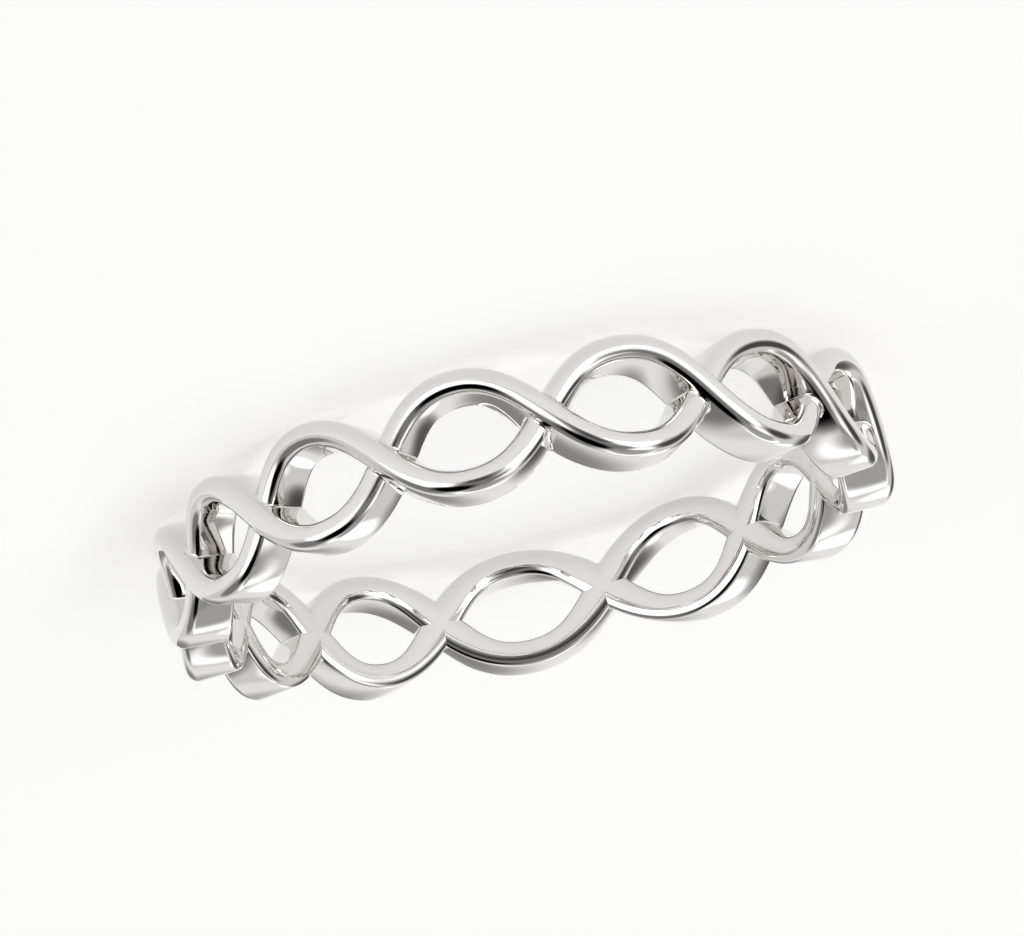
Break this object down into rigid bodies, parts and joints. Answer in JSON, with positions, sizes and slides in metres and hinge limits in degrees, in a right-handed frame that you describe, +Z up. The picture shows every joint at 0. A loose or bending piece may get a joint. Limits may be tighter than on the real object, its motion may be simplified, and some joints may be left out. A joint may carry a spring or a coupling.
{
  "type": "infinity ring",
  "caption": "Open-work twisted band ring: its strands cross over and under all round the finger, leaving a row of pointed oval eyes; flush round finger hole, rounded polished top.",
  "frame": {"origin": "the middle of the ring's footprint, on the floor that its lower edge rests on", "axes": "+Z up, along the finger hole and across the band; +X to the ring's right and -Y its front; the ring is shortest along Z"},
  "size_m": [0.0204, 0.0204, 0.0034],
  "materials": {
    "polished_metal": "mirror-polished white gold"
  },
  "bodies": {
    "root": {"twisted_band": "polished_metal"}
  },
  "joints": []
}
